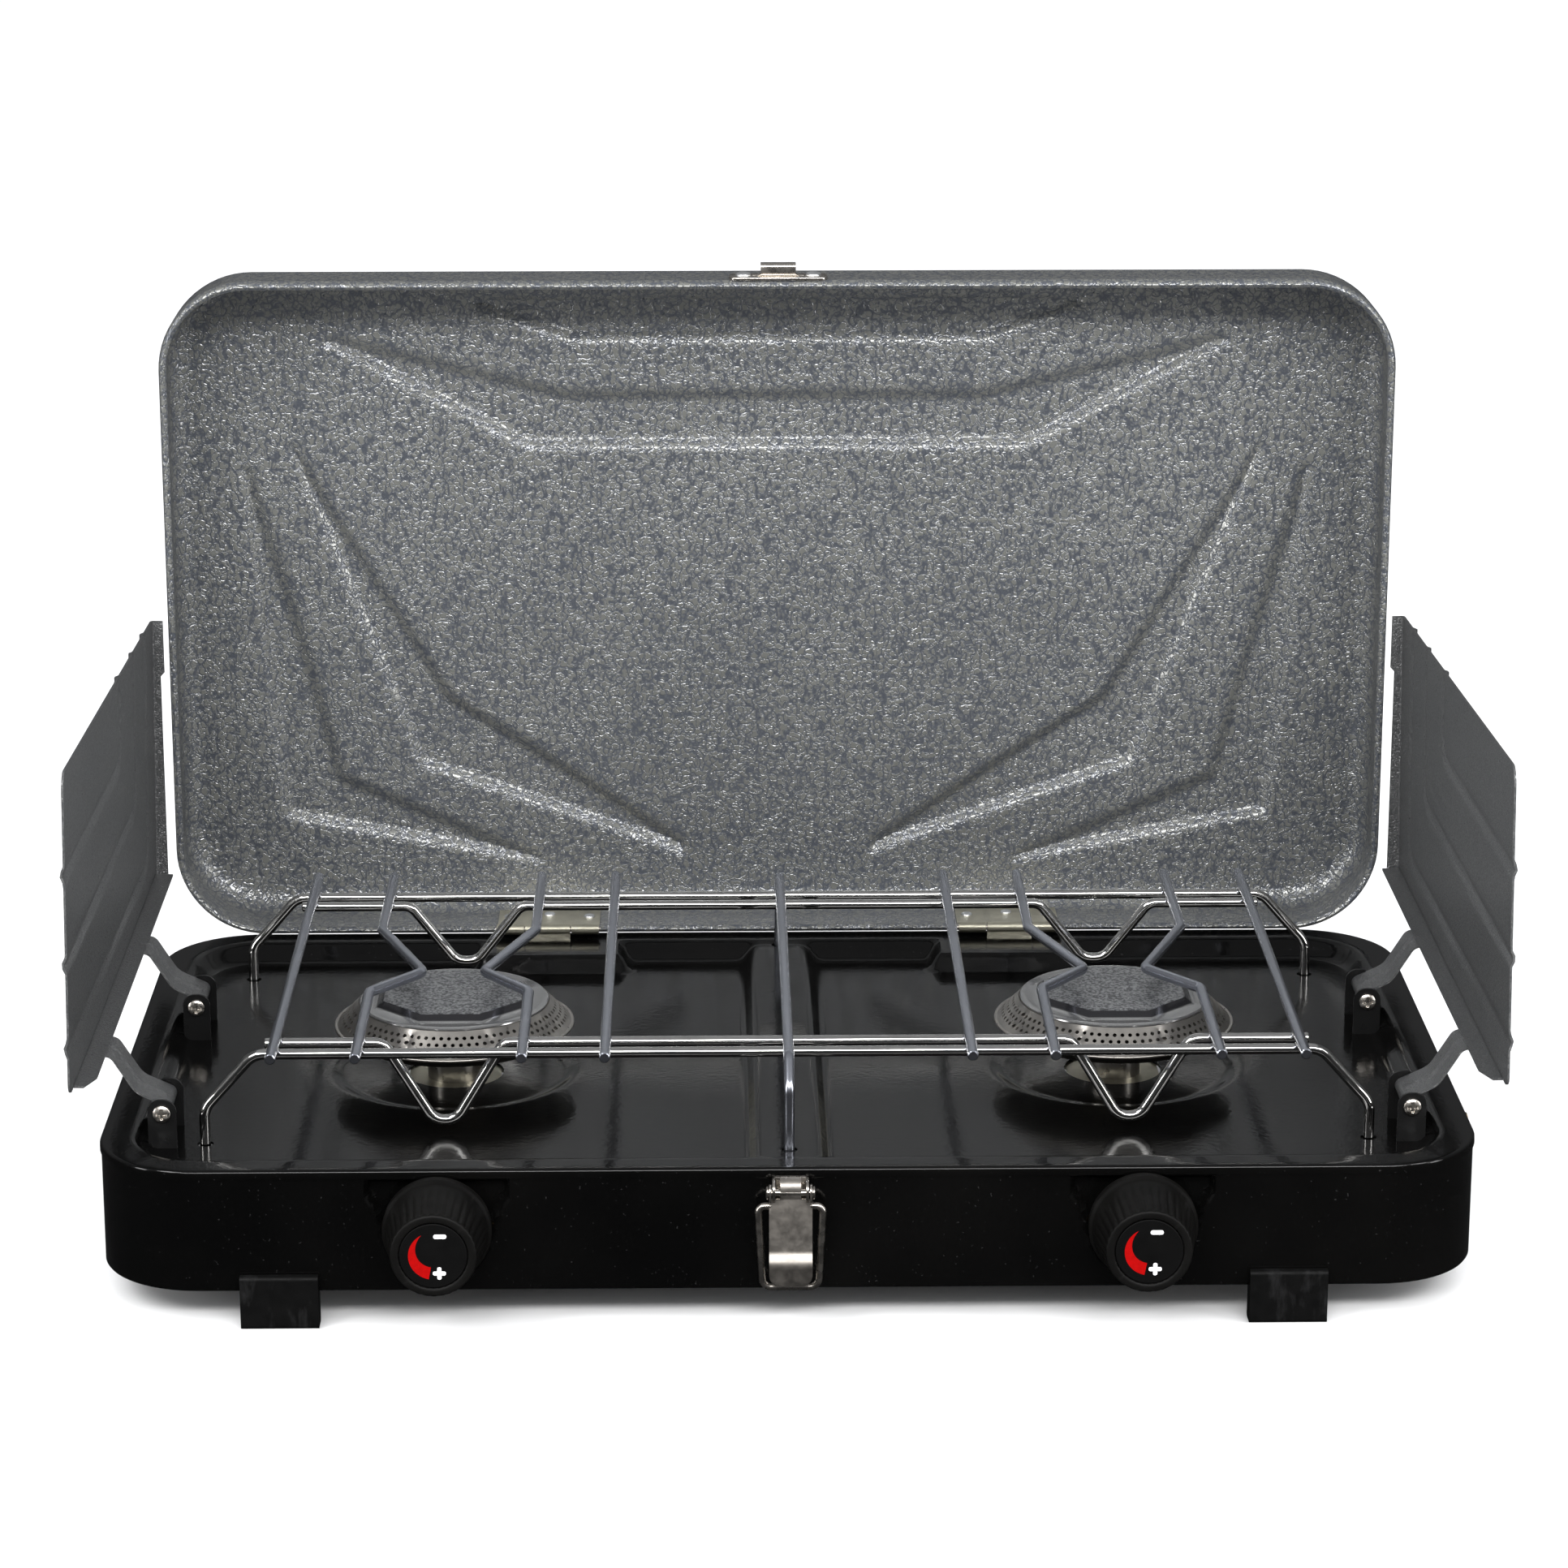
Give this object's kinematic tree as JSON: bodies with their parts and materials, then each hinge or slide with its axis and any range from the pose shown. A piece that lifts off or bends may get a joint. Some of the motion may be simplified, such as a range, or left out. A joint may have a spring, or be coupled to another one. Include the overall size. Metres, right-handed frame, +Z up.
{
  "type": "camp stove",
  "caption": "Folding camp stove, open: sunken burner panel, wire pan grate, round burners with knobs, hinged windshields and an upright latching lid.",
  "frame": {"origin": "centre of the overall footprint, on the plane that the feet rest on", "axes": "+X to the stove's right side, +Y to the rear where the lid stands, +Z up"},
  "size_m": [0.513, 0.339, 0.3374],
  "materials": {
    "gloss_black": "gloss",
    "rubber": "matte",
    "burner_steel": "satin",
    "burner_cap": "hammered",
    "zinc_plate": "satin",
    "aluminium": "satin",
    "brass": "satin",
    "black_steel": "satin",
    "nickel": "polished",
    "knob_plastic": "matte",
    "knob_label": "satin",
    "shield_paint": "satin",
    "zinc_wire": "satin",
    "chrome_wire": "polished",
    "hammered_grey": "hammered"
  },
  "bodies": {
    "stove_base": {"base_case": "gloss_black", "foot_front_left": "rubber", "foot_front_right": "rubber", "foot_rear_left": "rubber", "foot_rear_right": "rubber", "burner_bowl_left": "burner_steel", "burner_band_left": "burner_steel", "burner_cap_left": "burner_cap", "burner_bracket_left": "zinc_plate", "mixing_tube_left": "aluminium", "valve_body_left": "brass", "gas_jet_left": "brass", "shield_bracket_front_left": "black_steel", "shield_bracket_rear_left": "black_steel", "pivot_screws_left": "nickel", "base_hinge_leaf_left": "zinc_plate", "burner_bowl_right": "burner_steel", "burner_band_right": "burner_steel", "burner_cap_right": "burner_cap", "burner_bracket_right": "zinc_plate", "mixing_tube_right": "aluminium", "valve_body_right": "brass", "gas_jet_right": "brass", "shield_bracket_front_right": "black_steel", "shield_bracket_rear_right": "black_steel", "pivot_screws_right": "nickel", "base_hinge_leaf_right": "zinc_plate", "manifold_pipe": "aluminium", "gas_inlet": "brass", "hinge_pins": "nickel", "latch_bracket": "nickel", "latch_pin": "nickel", "latch_rivets": "nickel"},
    "lid": {"lid_shell": "hammered_grey", "lid_catch": "nickel", "catch_rivets": "nickel", "lid_hinge_leaf_left": "zinc_plate", "lid_hinge_leaf_right": "zinc_plate", "hinge_rivets": "nickel"},
    "pan_grate": {"grate_rail_front": "chrome_wire", "grate_rail_rear": "chrome_wire", "grate_vrod_front": "chrome_wire", "grate_vrod_rear": "chrome_wire", "grate_wires_left": "zinc_wire", "grate_wires_right": "zinc_wire", "grate_wire_centre": "zinc_wire"},
    "shield_left": {"windshield_left": "shield_paint"},
    "shield_right": {"windshield_right": "shield_paint"},
    "control_left": {"knob_left": "knob_plastic", "knob_label_left": "knob_label", "valve_stem_left": "brass"},
    "control_right": {"knob_right": "knob_plastic", "knob_label_right": "knob_label", "valve_stem_right": "brass"},
    "latch": {"latch_lever": "nickel"},
    "bail": {"latch_bail": "nickel"}
  },
  "joints": [
    {"name": "lid_hinge", "type": "hinge", "parent": "stove_base", "child": "lid", "pos_m": [0, 0.1306, 0.0631], "axis": [1, 0, 0], "range_deg": [0, 70]},
    {"name": "shield_fold_left", "type": "hinge", "parent": "stove_base", "child": "shield_left", "pos_m": [-0.228, -0.023, 0.066], "axis": [0, 1, 0], "range_deg": [0, 88.8]},
    {"name": "shield_fold_right", "type": "hinge", "parent": "stove_base", "child": "shield_right", "pos_m": [0.228, -0.023, 0.066], "axis": [0, -1, 0], "range_deg": [0, 88.8]},
    {"name": "grate_lift", "type": "slide", "parent": "stove_base", "child": "pan_grate", "axis": [0, 0, -1], "range_m": [-0.05, 0]},
    {"name": "knob_turn_left", "type": "hinge", "parent": "stove_base", "child": "control_left", "pos_m": [-0.126, -0.15, 0.038], "axis": [0, -1, 0], "range_deg": [0, 270]},
    {"name": "knob_turn_right", "type": "hinge", "parent": "stove_base", "child": "control_right", "pos_m": [0.126, -0.15, 0.038], "axis": [0, -1, 0], "range_deg": [0, 270]},
    {"name": "latch_turn", "type": "hinge", "parent": "stove_base", "child": "latch", "pos_m": [0, -0.144, 0.0524], "axis": [-1, 0, 0], "range_deg": [0, 130]},
    {"name": "bail_swing", "type": "hinge", "parent": "latch", "child": "bail", "pos_m": [0, -0.144, 0.0474], "axis": [-1, 0, 0], "range_deg": [0, 80]}
  ]
}
